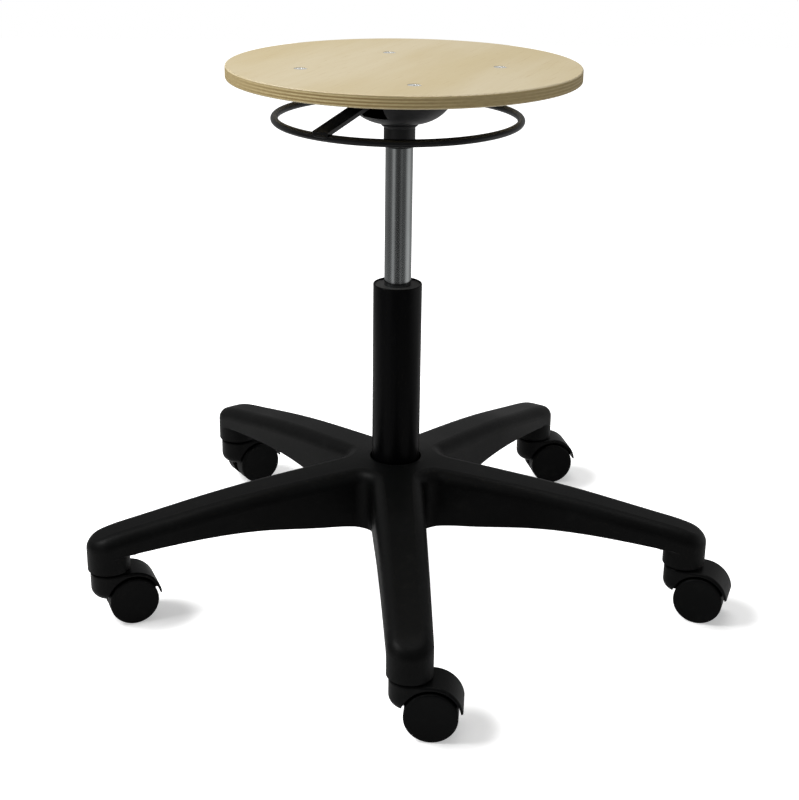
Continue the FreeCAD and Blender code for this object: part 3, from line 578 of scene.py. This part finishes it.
def round_bead(centre, radius, thickness):
    """A closed bead about the Z axis: (radius + p) cos(t), (radius + p) sin(t), z + q."""
    scales = int(2.0 * math.pi * radius / scale_length)
    rows = scales * rows_per_scale
    t = np.arange(rows) * 2.0 * math.pi / rows
    p, q = bead_section(thickness, t / (2.0 * math.pi) * scales * scale_length, bead_columns)
    reach = radius + p
    x = centre.x + reach * np.cos(t)[:, None]
    y = centre.y + reach * np.sin(t)[:, None]
    points = np.stack([x, y, centre.z + q], -1)
    return points.reshape(-1, 3), [grid_faces(rows, bead_columns, True, True)[:, ::-1]]


def ring_bead(radius, height, thickness, length):
    """A short bead along the release ring, under the arm, fading to a point at both ends."""
    s = np.linspace(-0.5, 0.5, arm_bead_rows)
    t = math.radians(arm_heading_deg) + s * length / radius
    p, q = bead_section(thickness, (s + 0.5) * length, bead_columns)
    fade = np.sqrt(np.clip(1.0 - (2.0 * s) ** 2, thinnest_end, 1.0))[:, None]
    reach = radius + p * fade
    x = ring_middle.x + reach * np.cos(t)[:, None]
    y = ring_middle.y + reach * np.sin(t)[:, None]
    points, faces = closed_sweep(np.stack([x, y, height + q * fade], -1))
    return points, [group[:, ::-1] for group in faces]


def closing_bead(heading_deg, thickness):
    """The low, wide bead round the ring's own wire, where its two ends were joined."""
    t = np.arange(closing_rows) * 2.0 * math.pi / closing_rows
    p, q = bead_section(thickness, t * ring_wire_r, closing_columns)
    turn = math.radians(heading_deg)
    reach = (ring_wire_r - closing_sink * thickness) + p
    out = ring_line_r + reach * np.cos(t)[:, None]
    x = ring_middle.x + out * math.cos(turn) - closing_spread * q * math.sin(turn)
    y = ring_middle.y + out * math.sin(turn) + closing_spread * q * math.cos(turn)
    z = ring_middle.z + reach * np.sin(t)[:, None]
    faces = [grid_faces(closing_rows, closing_columns, True, True)]
    return np.stack([x, y, z], -1).reshape(-1, 3), faces


neck_thickness = 0.0021
neck_r = 0.5 * (socket_high.x - socket_low.x) - neck_thickness
neck_middle = Vector((0.0, 0.0, housing_low.z - 0.9 * neck_thickness))
neck_parts = round_bead(neck_middle, neck_r, neck_thickness)
neck_bead = mesh_object("neck_weld", *neck_parts, finishes["housing_black"])
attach(neck_bead, "seat")

ring_parts = [
    ring_bead(ring_line_r + out, ring_middle.z + up, thickness, arm_width)
    for out, up, thickness in (inner_bead, outer_bead)
]
ring_parts.append(closing_bead(arm_heading_deg + 180.0, closing_thickness))
ring_beads = mesh_object("ring_welds", *joined(ring_parts), finishes["ring_black"])
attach(ring_beads, "lever")

# %% [markdown]
# ## The studio
#
# A white sweep with soft light. The floor keeps the small shadows by the casters: it is a plain
# white surface with a little light of its own that only the camera sees. Away from the casters
# that light grows until the floor can't be told from the white behind it. The light on the stool
# itself stays plain, so that a colour renders about as it is written.

# %% Floor and room
room_light = 0.30
floor_size = 8.0
floor_lines = 9
floor_glow = 0.38
caster_count = 5
shadow_shift = Vector((0.026, 0.0, 0.0))
shadow_fade = (0.026, 0.062)


def camera_ray(w):
    """1 for rays straight from the camera, and 0 for the light that falls on the stool."""
    path = w.tree.nodes.new("ShaderNodeLightPath")
    return Signal(w, path.outputs["Is Camera Ray"])


def shadow_spots():
    """The floor where each caster's shadow falls: under its wheels and a little to the right."""
    spots = []
    for k in range(1, caster_count + 1):
        corners = [*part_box(f"caster_{k}_wheel_left"), *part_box(f"caster_{k}_wheel_right")]
        middle = sum(corners, Vector()) / len(corners)
        spots.append(Vector((middle.x, middle.y, 0.0)) + shadow_shift)
    return spots


def make_floor():
    """A flat grid with a faint, wide unevenness in its tone."""
    material, w, shader = new_finish("floor_white", roughness=0.9, specular_ior_level=0.0)
    place = w.place()
    mottle = w.noise(place, 0.8, 2.0, 0.5)
    nearest = floor_size
    for spot in shadow_spots():
        away = w.node("ShaderNodeVectorMath", {"operation": "DISTANCE"}, {0: place, 1: spot}, 1)
        nearest = w.maths("MINIMUM", away, nearest)
    lift = w.between(nearest, *shadow_fade)
    w.feed(shader.inputs["Base Color"], w.mix(mottle, (0.80, 0.80, 0.80, 1.0), (0.82, 0.82, 0.82, 1.0)))
    w.feed(shader.inputs["Emission Color"], (1.0, 1.0, 1.0, 1.0))
    w.feed(shader.inputs["Emission Strength"], camera_ray(w) * (floor_glow + lift * (1.0 - floor_glow)))
    side = np.linspace(-0.5 * floor_size, 0.5 * floor_size, floor_lines)
    x, y = np.meshgrid(side, side, indexing="xy")
    points = np.stack([x, y, np.zeros_like(x)], -1).reshape(-1, 3)
    floor = mesh_object("floor", points, [grid_faces(floor_lines, floor_lines, False)], material)


def make_room():
    """White wherever the camera looks, and a plain grey light otherwise."""
    room = bpy.data.worlds.new("room")
    room.use_nodes = True
    bpy.context.scene.world = room
    w = Wiring(room.node_tree)
    background = room.node_tree.nodes["Background"]
    grey = (room_light, room_light, room_light, 1.0)
    w.feed(background.inputs["Color"], w.mix(camera_ray(w), grey, (1.0, 1.0, 1.0, 1.0)))
    background.inputs["Strength"].default_value = 1.0


make_floor()
make_room()
print("room light", room_light)

# %% [markdown]
# ## Lamps
#
# The shadows in the photograph are short and fall to the right of each caster, so the main lamp
# is a softbox high on the left. A weaker and wider one overhead draws the sheen along the legs.

# %% Lamps


def softbox(name, place, target, size, watts):
    """A square area lamp that faces its target."""
    lamp = bpy.data.lights.new(name, "AREA")
    lamp.size = size
    lamp.energy = watts
    made = bpy.data.objects.new(name, lamp)
    direction = Vector(target) - Vector(place)
    facing = direction.to_track_quat("-Z", "Y").to_matrix().to_4x4()
    made.matrix_world = Matrix.Translation(place) @ facing
    bpy.context.scene.collection.objects.link(made)
    return made


softbox("main_softbox", (-1.6, -0.35, 2.1), (0.0, 0.0, 0.25), 0.9, 37.0)
softbox("top_softbox", (0.2, 0.4, 2.3), (0.0, 0.0, 0.3), 1.4, 15.0)

# %% [markdown]
# ## What the polished cylinder sees
#
# A polished tube shows nothing but its surroundings, so photographers stand light and dark cards
# round it, just out of the picture. Here one round wall stands for all of them. Only reflections
# see it, and its brightness runs through the cards in order: behind the camera it is dark, and
# bright strips stand to the left and right. A point at a share s of the tube's half width shows
# the wall at twice the arcsine of s, counted from the camera.

# %% Round wall of cards
wall_distance = 0.85
wall_height = 0.45
wall_columns = 96
# Direction in degrees from the camera, plus to the right, and brightness there.
wall_cards = [
    (-180.0, 0.34), (-125.0, 0.34), (-80.0, 0.20), (-62.0, 0.26), (-46.0, 0.75), (-36.0, 0.62),
    (-24.0, 0.14), (-4.0, 0.08), (8.0, 0.10), (22.0, 0.27), (36.0, 0.15), (56.0, 0.18),
    (80.0, 0.90), (98.0, 1.00), (122.0, 0.45), (180.0, 0.40),
]


def card_wall():
    """A round wall about the stool, x = d sin(a), y = -d cos(a), seen by reflections only."""
    material, w, shader = new_finish("card_wall", roughness=1.0, specular_ior_level=0.0)
    x, y, z = w.axes(w.place())
    turn = w.node("ShaderNodeMath", {"operation": "ARCTAN2"}, {0: x, 1: y * -1.0})
    stops = [((deg + 180.0) / 360.0, (shade, shade, shade, 1.0)) for deg, shade in wall_cards]
    share = turn * (0.5 / math.pi) + 0.5
    ramp = w.node("ShaderNodeValToRGB", {"stops": stops}, {0: share})
    w.feed(shader.inputs["Base Color"], (0.0, 0.0, 0.0, 1.0))
    w.feed(shader.inputs["Emission Color"], ramp)
    shader.inputs["Emission Strength"].default_value = 1.0
    turns = np.radians(np.arange(wall_columns) * 360.0 / wall_columns)
    angle, height = np.meshgrid(turns, np.array([0.0, wall_height]))
    points = np.stack([wall_distance * np.sin(angle), -wall_distance * np.cos(angle), height], -1)
    wall = mesh_object("card_wall", points.reshape(-1, 3), [grid_faces(2, wall_columns, True)], material)
    wall.visible_camera = False
    wall.visible_diffuse = False
    wall.visible_shadow = False
    wall.visible_transmission = False


card_wall()
